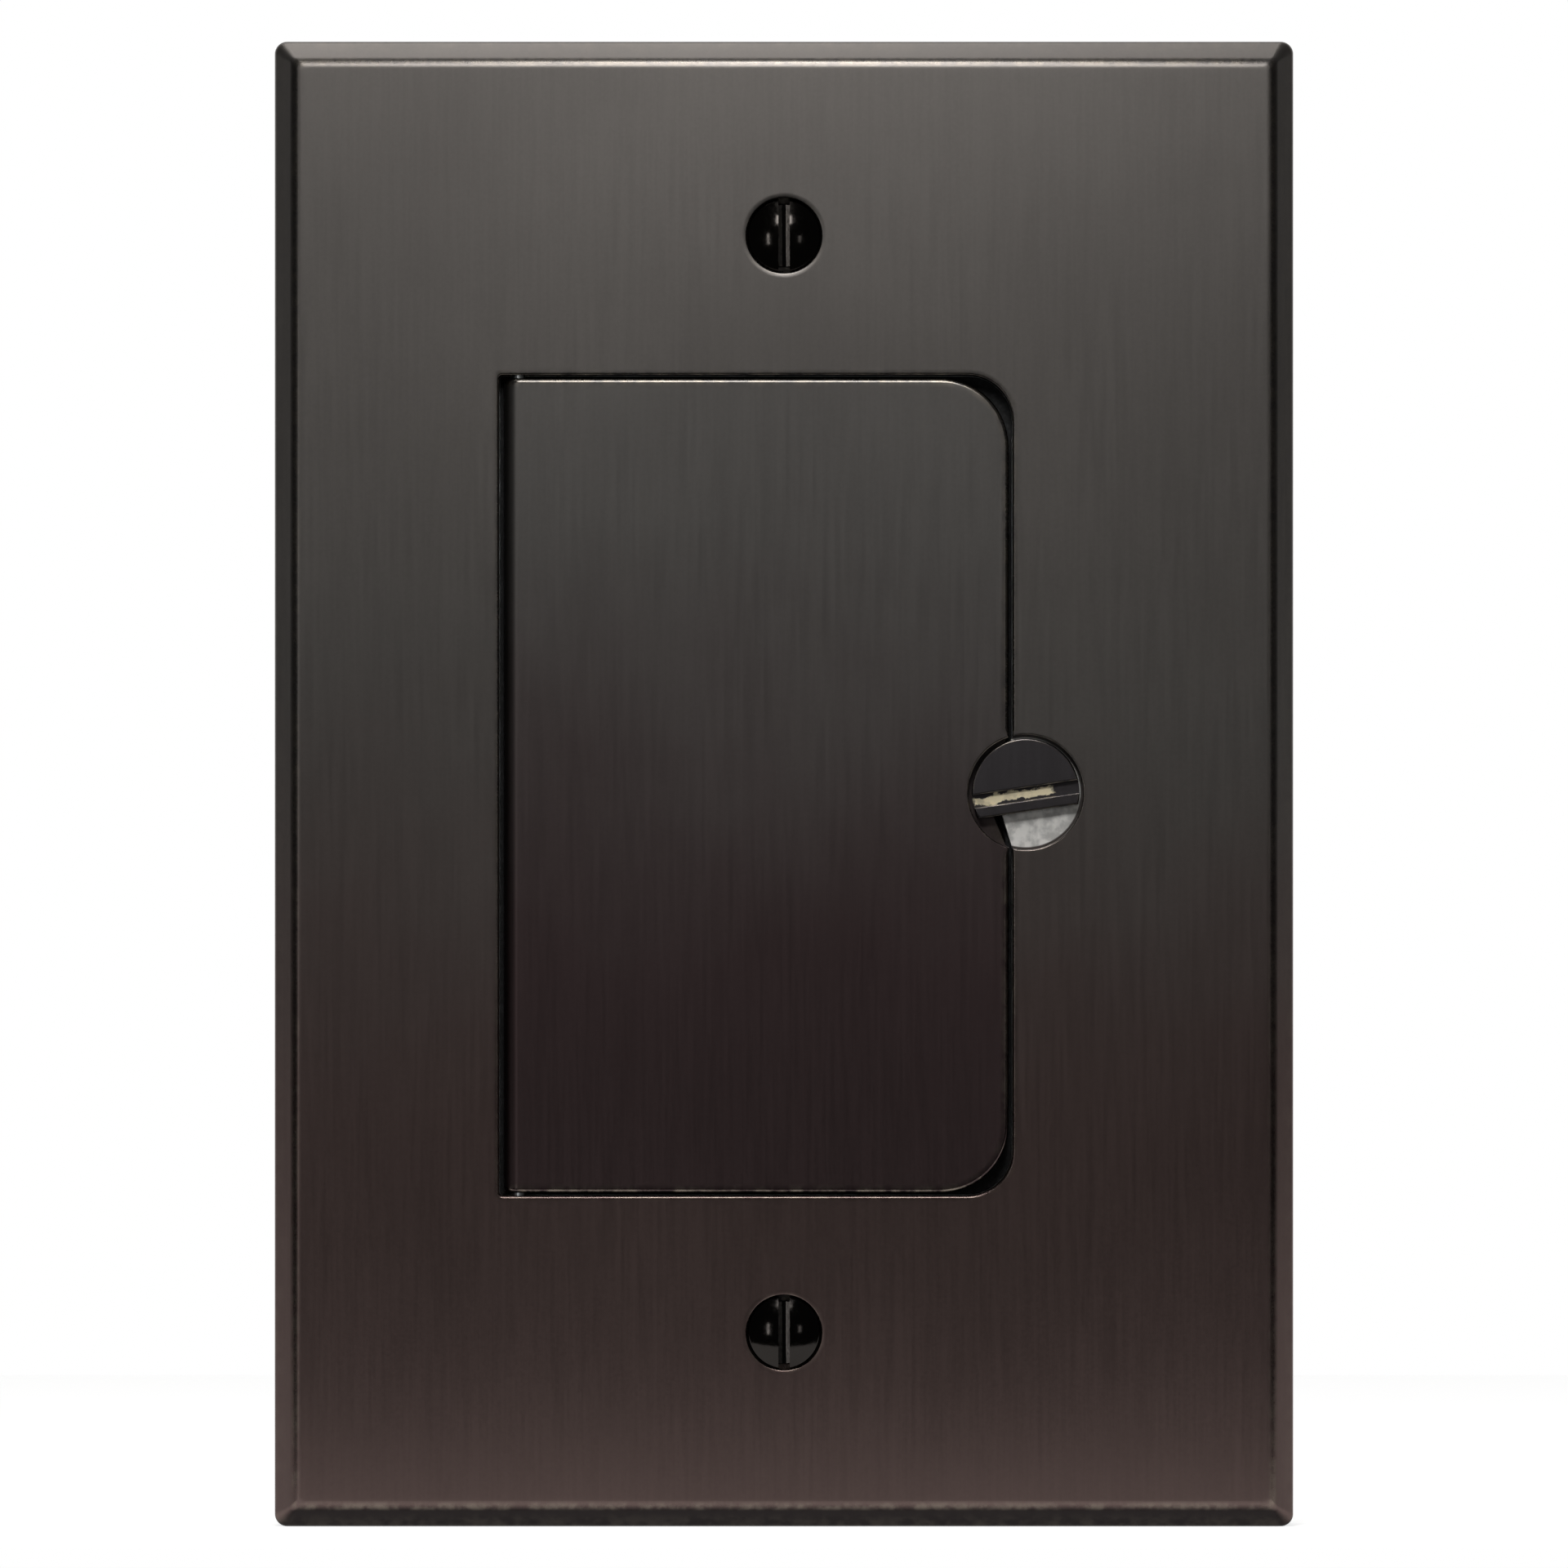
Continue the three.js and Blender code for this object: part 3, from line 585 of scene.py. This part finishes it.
# Barrel: a half circle from the face to the back carried up the hinge line and drawn in at both
# ends, the bore, and the two ends of the leaf
ease = [(door_edge * (1 - math.sin(a)), door_edge * (1 - math.cos(a))) for a in quarter]
stations = [(door_bottom + along, barrel - drawn) for drawn, along in ease]
stations += [(door_bottom + door_edge + 0.4, barrel), (door_top - door_edge - 0.4, barrel)]
stations += [(door_top - along, barrel - drawn) for drawn, along in ease[::-1]]
about = np.radians(np.linspace(90, 270, 25))
half_round = np.column_stack([np.cos(about), np.sin(about)])
hinge_line = np.array([hinge_x, hinge_height])
bore = hinge_line + pin_bore * np.column_stack([np.cos(2 * about), np.sin(2 * about)])[:-1]
end = np.concatenate([hinge_line + (barrel - door_edge) * half_round, [
    (corner_start, door_back + door_edge), (corner_start, counterbore_floor),
    (corner_start, face - door_edge)]])
patches += [
    skin([upright(hinge_line + radius * half_round, z) for z, radius in stations],
         np.array([0.8] + [1.0] * 6 + [0, 0] + [1.0] * 6 + [0.8]), False),
    skin([upright(bore, z) for z in (door_bottom, door_top)])]
patches += [fill(upright(end, z), upright(bore, z)) for z in (door_bottom, door_top)]

door_bronze = dark_bronze("brushed dark bronze of the door", upper=(0.108, 0.101, 0.095, 1),
                          lower=(0.072, 0.050, 0.050, 1), fade=(-0.02, 0.025))
door = build("door_leaf", patches, door_bronze)
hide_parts("door")
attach(door, "door")


# ------------------------------------------------------------------ latch button
# A turned brass button on a stem. Its head has a screwdriver slot and a segment cut away, and is
# darkened like the plate; screwdrivers have scratched most of the slot back to bare brass.

latch_turn = math.radians(8.4)
latch_top, latch_under, slot_floor, latch_radius, latch_flat = 9.4, 8.2, 8.8, 4.75, -1.7
slot_low, slot_high, latch_edge = -0.70, 0.40, 0.14
stem, stem_end, ring_groove, groove_top, groove_low = 1.25, 2.75, 0.95, 4.0, 3.4


def on_button(outline):
    """Outline drawn about the button's axis with the slot level, turned with the button."""
    c, s = math.cos(latch_turn), math.sin(latch_turn)
    return outline @ np.array([(c, s), (-s, c)]) + (latch_x, latch_z)


def across(level):
    """Angle on the button's rim, in degrees, at a level across the slot."""
    return math.degrees(math.asin(level / latch_radius))


upper_rim = arc(0, 0, latch_radius, across(slot_high), 180 - across(slot_high), 48)
left_end = arc(0, 0, latch_radius, 180 - across(slot_high), 180 - across(slot_low), 6)
left_rim = arc(0, 0, latch_radius, 180 - across(slot_low), 180 - across(latch_flat), 2)
right_rim, right_end = left_rim[::-1] * (-1, 1), left_end[::-1] * (-1, 1)
lower_part = np.concatenate([left_rim, right_rim])
rim_outline = np.concatenate([upper_rim, left_end[1:], left_rim[1:], right_rim, right_end[1:-1]])
patches = []
for part in (upper_rim, lower_part):
    rings = [at(on_button(inset(part, latch_edge + 0.1)), latch_top)]
    rings += [at(on_button(inset(part, latch_edge * (1 - math.sin(a)))),
                 latch_top - latch_edge * (1 - math.cos(a))) for a in quarter]
    rings += [at(on_button(part), slot_floor)]
    patches += [skin(rings, np.array([0, 0.5, 1, 1, 1, 1, 1, 0.8, 0])), fill(rings[0])]
patches += [
    fill(at(on_button(np.concatenate([left_end, right_end])), slot_floor)),
    skin([at(on_button(rim_outline), h) for h in (slot_floor, latch_under)]),
    fill(at(on_button(rim_outline), latch_under), circle(latch_x, latch_z, stem, latch_under, 40)),
    turned(latch_x, latch_z, [
        (stem, latch_under), (stem, groove_top), (ring_groove, groove_top), (ring_groove, groove_low),
        (stem, groove_low), (stem, stem_end + 0.2), (stem - 0.2, stem_end)], 40),
    fill(circle(latch_x, latch_z, stem - 0.2, stem_end, 40))]

# Scratches: bare metal on a strip with ragged sides, given by its half width and two ends
scratched, given, result = effect("scratched strip", {
    "Place": (0.0, 0.0, 0.0), "Half width": 0.0005, "Low end": -0.005, "High end": 0.003}, ["Mask"])
rough_sides = node(scratched, "TexNoise", {"Vector": given["Place"], "Scale": 900.0, "Detail": 6.0,
                                           "Roughness": 0.65}).outputs[0]
ragged = math_node(scratched, "MULTIPLY", math_node(scratched, "SUBTRACT", rough_sides, 0.5), 0.0016)
along, _, off = node(scratched, "SeparateXYZ", {0: given["Place"]}).outputs
side_gap = math_node(scratched, "SUBTRACT", given["Half width"],
                     math_node(scratched, "ADD", math_node(scratched, "ABSOLUTE", off), ragged))
end_gap = math_node(scratched, "MINIMUM", math_node(scratched, "SUBTRACT", along, given["Low end"]),
                    math_node(scratched, "SUBTRACT", given["High end"], along))
end_gap = math_node(scratched, "ADD", end_gap, math_node(scratched, "MULTIPLY", ragged, 1.6))
bare_strip = math_node(scratched, "MULTIPLY", ramp(scratched, side_gap, 0.0, 0.00012),
                       ramp(scratched, end_gap, 0.0, 0.0005))
scratched.links.new(bare_strip, result.inputs["Mask"])


def slot_scratches(tree):
    """Mask of the bare metal in and beside the slot."""
    place = node(tree, "Mapping", {
        "Vector": node(tree, "TexCoord").outputs["Object"],
        "Location": (-latch_x * MM, 0, -latch_z * MM)}, vector_type="POINT").outputs[0]
    place = node(tree, "Mapping", {"Vector": place, "Rotation": (0, latch_turn, 0),
                                   "Location": (0, 0, 0.15 * MM)}).outputs[0]
    strip = use(tree, scratched, place=place, half_width=0.00042, low_end=-0.0049, high_end=0.0027)[0]
    depth = node(tree, "SeparateXYZ", {0: node(tree, "TexCoord").outputs["Object"]}).outputs[1]
    return math_node(tree, "MULTIPLY", strip, math_node(tree, "LESS_THAN", depth, -8.5 * MM))


latch_tone = (0.070, 0.064, 0.067, 1)
latch_bronze = dark_bronze("brushed dark bronze of the latch", latch_tone, latch_tone, roughness=0.40,
                           worn=0.35, bare=slot_scratches, bright=(1.0, 0.88, 0.62, 1))
latch_button = build("latch_button_turned", patches, latch_bronze)
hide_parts("latch_button")
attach(latch_button, "latch")


# ------------------------------------------------------------------ cover screws
# Slotted oval-head machine screws, No. 6 with 32 threads to the inch, blacked and oiled. They go
# through the plate into the strap of the device.

head_radius, crown, slot_half, slot_level, shank, pitch = 3.17, 0.75, 0.5, -0.5, 1.75, 25.4 / 32
slot_vee, head_ease = 0.11, 0.14
screw_seat, screw_end, thread_depth = 9.4, -25.4, 0.44
cone = math.tan(math.radians(cone_angle))
dome = (head_radius ** 2 + crown ** 2) / (2 * crown)

# Profile of the head: the crown, the eased rim and the cone down to the slot's floor
crown_radii = np.linspace(slot_half, head_radius - head_ease, 14)
head_profile = [(r, crown - dome + math.sqrt(dome ** 2 - r ** 2)) for r in crown_radii]
rim_height = head_profile[-1][1]
head_profile += [(head_radius - head_ease * (1 - math.sin(a)),
                  rim_height - 0.16 * (1 - math.cos(a)) - 0.01) for a in np.radians([30, 55, 80, 105])]
slot_end_radius = head_radius + slot_level * cone
head_profile += [(head_radius - 0.25 * cone, -0.25), (slot_end_radius, slot_level)]
sweep = np.linspace(-1, 1, 33)
half_rings = []
for radius, height in head_profile:
    angle = math.acos(min(slot_half / radius, 1.0)) * sweep
    half_rings.append(np.column_stack([radius * np.cos(angle), radius * np.sin(angle),
                                       np.full(len(sweep), height)]))
half_rings = np.array(half_rings)
end_gap = math.asin(slot_half / slot_end_radius)
end_arc = slot_end_radius * np.column_stack([np.sin(np.linspace(-end_gap, end_gap, 5)),
                                             np.cos(np.linspace(-end_gap, end_gap, 5))])
slot_wall = np.concatenate([half_rings[::-1, -1], half_rings[1:, 0]])
foot = np.concatenate([half_rings[-1][:, :2], end_arc[::-1][1:-1], -half_rings[-1][:, :2],
                       -end_arc[::-1][1:-1]])
foot_angle = np.arctan2(foot[:, 1], foot[:, 0])


def slot_depth(points):
    """Height of the slot's floor: a shallow V, lowest on the middle line."""
    return slot_level - slot_vee * np.clip(1 - np.abs(points[:, 0]) / slot_half, 0, 1)


half_end = end_arc[end_arc[:, 0] > -1e-9]
facet = np.concatenate([half_end, (half_end * (1, -1))[::-1]])

# Thread: the radius falls from the crest by the depth times a triangle wave of the phase, which is
# the height over the pitch less the angle over a full turn. It runs out at both ends.
head_foot = -(head_radius - shank) / cone
levels = np.linspace(head_foot, screw_end + 0.5, 300)
phase = levels[:, None] / pitch - foot_angle[None, :] / (2 * math.pi)
groove_wave = np.abs(2 * (phase % 1) - 1)
run_out_here = np.clip((head_foot - levels) / 1.2, 0, 1) * np.clip((levels - screw_end) / 1.0, 0, 1)
radii = shank - thread_depth * np.clip(1.25 * groove_wave - 0.12, 0, 1) * run_out_here[:, None]


def screw_patches(z):
    """Patches of one cover screw at that height on the centre line, its slot upright."""

    def stand(points):
        """Points of x, z and height over the rim, set in the plate."""
        x, up, height = points[..., 0], points[..., 1], points[..., 2]
        return np.stack([x, -(screw_seat + height), z + up], -1)

    def flat(outline, height):
        """Outline at one height over the rim, or one for each point."""
        return stand(np.column_stack([outline, height * np.ones(len(outline))]))

    half_turn = np.array([-1, -1, 1])
    threads = np.stack([radii * np.cos(foot_angle), radii * np.sin(foot_angle),
                        np.repeat(levels[:, None], len(foot_angle), 1)], -1)
    tip = (shank - 0.5) * np.column_stack([np.cos(foot_angle), np.sin(foot_angle)])
    made = []
    for way in (np.ones(3), half_turn):
        wall_points = slot_wall * way
        wall_fill = fill(wall_points)
        made += [skin(stand(half_rings * way), closed=False),
                 (stand(wall_points), wall_fill[1], wall_fill[2]),
                 fill(flat(facet * way[:2], slot_depth(facet)))]
    made += [skin([flat(foot, slot_depth(foot)), *stand(threads), flat(tip, screw_end)]),
             fill(flat(tip, screw_end))]
    return made


black_steel, tree, shader = new_material("blacked and oiled steel")
marks, broad = use(tree, brush_marks, across=1500.0, along=1500.0, grain=0.7)[:2]
colour = blend_colour(tree, ramp(tree, broad, 0.3, 0.7), (0.020, 0.018, 0.017, 1), (0.032, 0.029, 0.026, 1))
bump = node(tree, "Bump", {"Strength": 0.1, "Distance": 0.00003, "Height": marks})
put(tree, shader, Base_Color=colour, Metallic=1.0, Normal=bump.outputs[0],
    Roughness=ramp(tree, marks, 0.2, 0.8, 0.07, 0.16))
for side, z in (("upper", cover_screw_z), ("lower", -cover_screw_z)):
    screw = build(f"cover_screw_{side}", screw_patches(z), black_steel)
    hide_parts(f"plate_screw_{side}")
    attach(screw, "frame")


# ------------------------------------------------------------------ fittings behind the face
# Stock parts: a zinc-plated sheet-steel inner plate with its screws, the hinge pin and the latch's
# washer; brass keepers; spring steel; fibre washers; and cut closed-cell foam.

def stock_metal(name, light, dark, roughness, spots):
    """Plated or bare metal: two tones in a cloudy pattern with fine specks."""
    material, tree, shader = new_material(name)
    marks, broad = use(tree, brush_marks, across=900.0, along=900.0, grain=0.5)[:2]
    clouds = node(tree, "TexNoise", {"Vector": node(tree, "TexCoord").outputs["Object"],
                                     "Scale": spots, "Detail": 5.0}).outputs[0]
    colour = blend_colour(tree, ramp(tree, clouds, 0.35, 0.65), dark, light)
    bump = node(tree, "Bump", {"Strength": 0.1, "Distance": 0.00003, "Height": marks})
    put(tree, shader, Base_Color=colour, Metallic=1.0, Normal=bump.outputs[0],
        Roughness=ramp(tree, math_node(tree, "ADD", marks, math_node(
            tree, "MULTIPLY", clouds, 0.4)), 0.4, 1.0, roughness - 0.06, roughness + 0.1))
    return material


zinc = stock_metal("bright zinc plate", (0.60, 0.62, 0.64, 1), (0.47, 0.48, 0.46, 1), 0.32, 160.0)
spring = stock_metal("oiled spring steel", (0.30, 0.31, 0.33, 1), (0.20, 0.20, 0.20, 1), 0.28, 400.0)
brass = stock_metal("bare brass", (0.66, 0.48, 0.22, 1), (0.50, 0.35, 0.15, 1), 0.3, 300.0)


def soft_stock(name, light, dark, scale, depth, roughness):
    """Foam or fibre: cells with dark edges, or matted fibres, raised a little."""
    material, tree, shader = new_material(name)
    place = node(tree, "TexCoord").outputs["Object"]
    cells = node(tree, "TexVoronoi", {"Vector": place, "Scale": scale}).outputs["Distance"]
    cloud = node(tree, "TexNoise", {"Vector": place, "Scale": scale / 6, "Detail": 6.0}).outputs[0]
    height = math_node(tree, "ADD", cells, cloud)
    colour = blend_colour(tree, ramp(tree, height, 0.5, 1.1), light, dark)
    bump = node(tree, "Bump", {"Strength": 0.5, "Distance": depth, "Height": height})
    put(tree, shader, Base_Color=colour, Roughness=ramp(tree, cloud, 0.3, 0.7, roughness - 0.08, roughness),
        Normal=bump.outputs[0])
    return material


foam = soft_stock("black closed-cell foam", (0.022, 0.022, 0.023, 1), (0.010, 0.010, 0.010, 1),
                  2600.0, 0.00012, 0.95)
fibre = soft_stock("red vulcanised fibre", (0.30, 0.075, 0.045, 1), (0.18, 0.040, 0.026, 1),
                   1800.0, 0.00003, 0.7)

# The seal is a foam ring stuck to the inner plate round the window, with soft edges
seal_low, seal_top, soft = seat_height + 0.01, 6.8, 0.12
window = (17.3, 34.05, 1.0)
ring_outer = inset(np.concatenate([lower_corner, tongue_round, upper_corner, hinge_side]), 0.06)
ring_inner = rounded(*window)
patches = []
for edge_line, way in ((ring_outer, 1), (ring_inner, -1)):
    patches.append(skin([at(edge_line, seal_low)] + [
        at(inset(edge_line, way * soft * (1 - math.cos(a))), seal_top - soft * (1 - math.sin(a)))
        for a in quarter]))
patches += [fill(at(inset(ring_outer, soft), seal_top), at(inset(ring_inner, -soft), seal_top)),
            fill(at(ring_outer, seal_low), at(ring_inner, seal_low))]
seal = build("door_seal_foam", patches, foam)
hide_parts("door_seal")
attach(seal, "frame")

finishes = {"zinc_steel": zinc, "spring_steel": spring, "brass": brass, "black_foam": foam,
            "red_fibre": fibre, "dark_bronze": plate_bronze, "latch_bronze": latch_bronze,
            "blacked_steel": black_steel}
for part in frame["record"]["subparts"]:
    kept = frame["nodes"][part["node"]]
    kept.data.materials.clear()
    kept.data.materials.append(finishes[part["material_slot"]])


# ------------------------------------------------------------------ studio
# A pale floor under the plate, white beyond it, soft lights close above and in front and overhead,
# a narrow strip on each side, and a long lens square to the face.

floor_level = cad_box[0][2] - 0.00002
floor_mesh = bpy.data.meshes.new("floor")
reach, front_reach = 0.4, 0.05
floor_mesh.from_pydata([(-reach, -front_reach, floor_level), (reach, -front_reach, floor_level),
                        (reach, reach, floor_level), (-reach, reach, floor_level)], [], [(0, 1, 2, 3)])
floor = bpy.data.objects.new("studio_floor", floor_mesh)
bpy.context.collection.objects.link(floor)
floor_paint, tree, shader = new_material("pale floor")
rays = node(tree, "LightPath").outputs
mirrored = math_node(tree, "MAXIMUM", rays["Is Glossy Ray"], rays["Is Transmission Ray"])
seen = math_node(tree, "MAXIMUM", rays["Is Camera Ray"], mirrored)
put(tree, shader, Base_Color=(0.80, 0.80, 0.79, 1), Roughness=0.9, Specular_IOR_Level=0.2,
    Emission_Color=(1, 1, 1, 1), Emission_Strength=math_node(tree, "MULTIPLY", seen, 0.76))
floor_mesh.materials.append(floor_paint)

world = bpy.data.worlds.new("studio")
bpy.context.scene.world = world
world.use_nodes = True
tree = world.node_tree
tree.nodes.clear()
rays = node(tree, "LightPath").outputs
toward = node(tree, "SeparateXYZ", {0: node(tree, "TexCoord").outputs["Generated"]}).outputs[1]
backdrop = node(tree, "MapRange", {"Value": toward, "From Min": 0.0, "From Max": 0.45,
                                   "To Min": 0.04, "To Max": 1.0}).outputs[0]
mirrored = math_node(tree, "MAXIMUM", rays["Is Glossy Ray"], rays["Is Transmission Ray"])
mirrored = math_node(tree, "MULTIPLY", mirrored, backdrop)
seen = math_node(tree, "MAXIMUM", rays["Is Camera Ray"], mirrored)
even_light = math_node(tree, "MULTIPLY", math_node(tree, "LESS_THAN", seen, 0.01), 0.14)
strength = math_node(tree, "ADD", seen, even_light)
sky = node(tree, "Background", {"Color": (1, 1, 1, 1), "Strength": strength})
node(tree, "OutputWorld", {"Surface": sky.outputs[0]})


def soft_light(name, place, target, width, height, watts):
    """Rectangular soft light turned to a target, and left out of the picture itself."""
    light = bpy.data.lights.new(name, "AREA")
    light.shape = "RECTANGLE"
    light.size, light.size_y, light.energy = width, height, watts
    lamp = bpy.data.objects.new(name, light)
    bpy.context.collection.objects.link(lamp)
    lamp.visible_camera = False
    lamp.location = place
    aim = np.array(target) - np.array(place)
    lamp.rotation_euler = (math.atan2(math.hypot(aim[0], aim[1]), -aim[2]), 0,
                           -math.atan2(aim[0], aim[1]))


soft_light("front softbox", (0.0, -0.25, 0.16), (0, 0, 0.03), 0.10, 0.06, 0.30)
soft_light("near top light", (0.0, -0.17, 0.20), (0, 0, 0.03), 0.05, 0.05, 0.12)
soft_light("overhead panel", (-0.08, -0.02, 0.45), (0, 0, 0), 0.14, 0.30, 0.60)
soft_light("left strip", (-0.30, -0.72, 0), (0, 0, 0), 0.04, 0.20, 0.20)
soft_light("right strip", (0.30, -0.72, 0), (0, 0, 0), 0.04, 0.12, 0.05)

lens = bpy.data.cameras.new("long lens")
camera = bpy.data.objects.new("camera", lens)
bpy.context.collection.objects.link(camera)
distance = 1.6
field = 0.1384
lens.sensor_width = 36.0
lens.lens = 36.0 * (distance - face * MM) / field
lens.clip_start, lens.clip_end = 0.01, 20.0
camera.location = (0, -distance, 0)
camera.rotation_euler = (math.pi / 2, 0, 0)
bpy.context.scene.camera = camera
bpy.context.scene.view_settings.view_transform = "Standard"
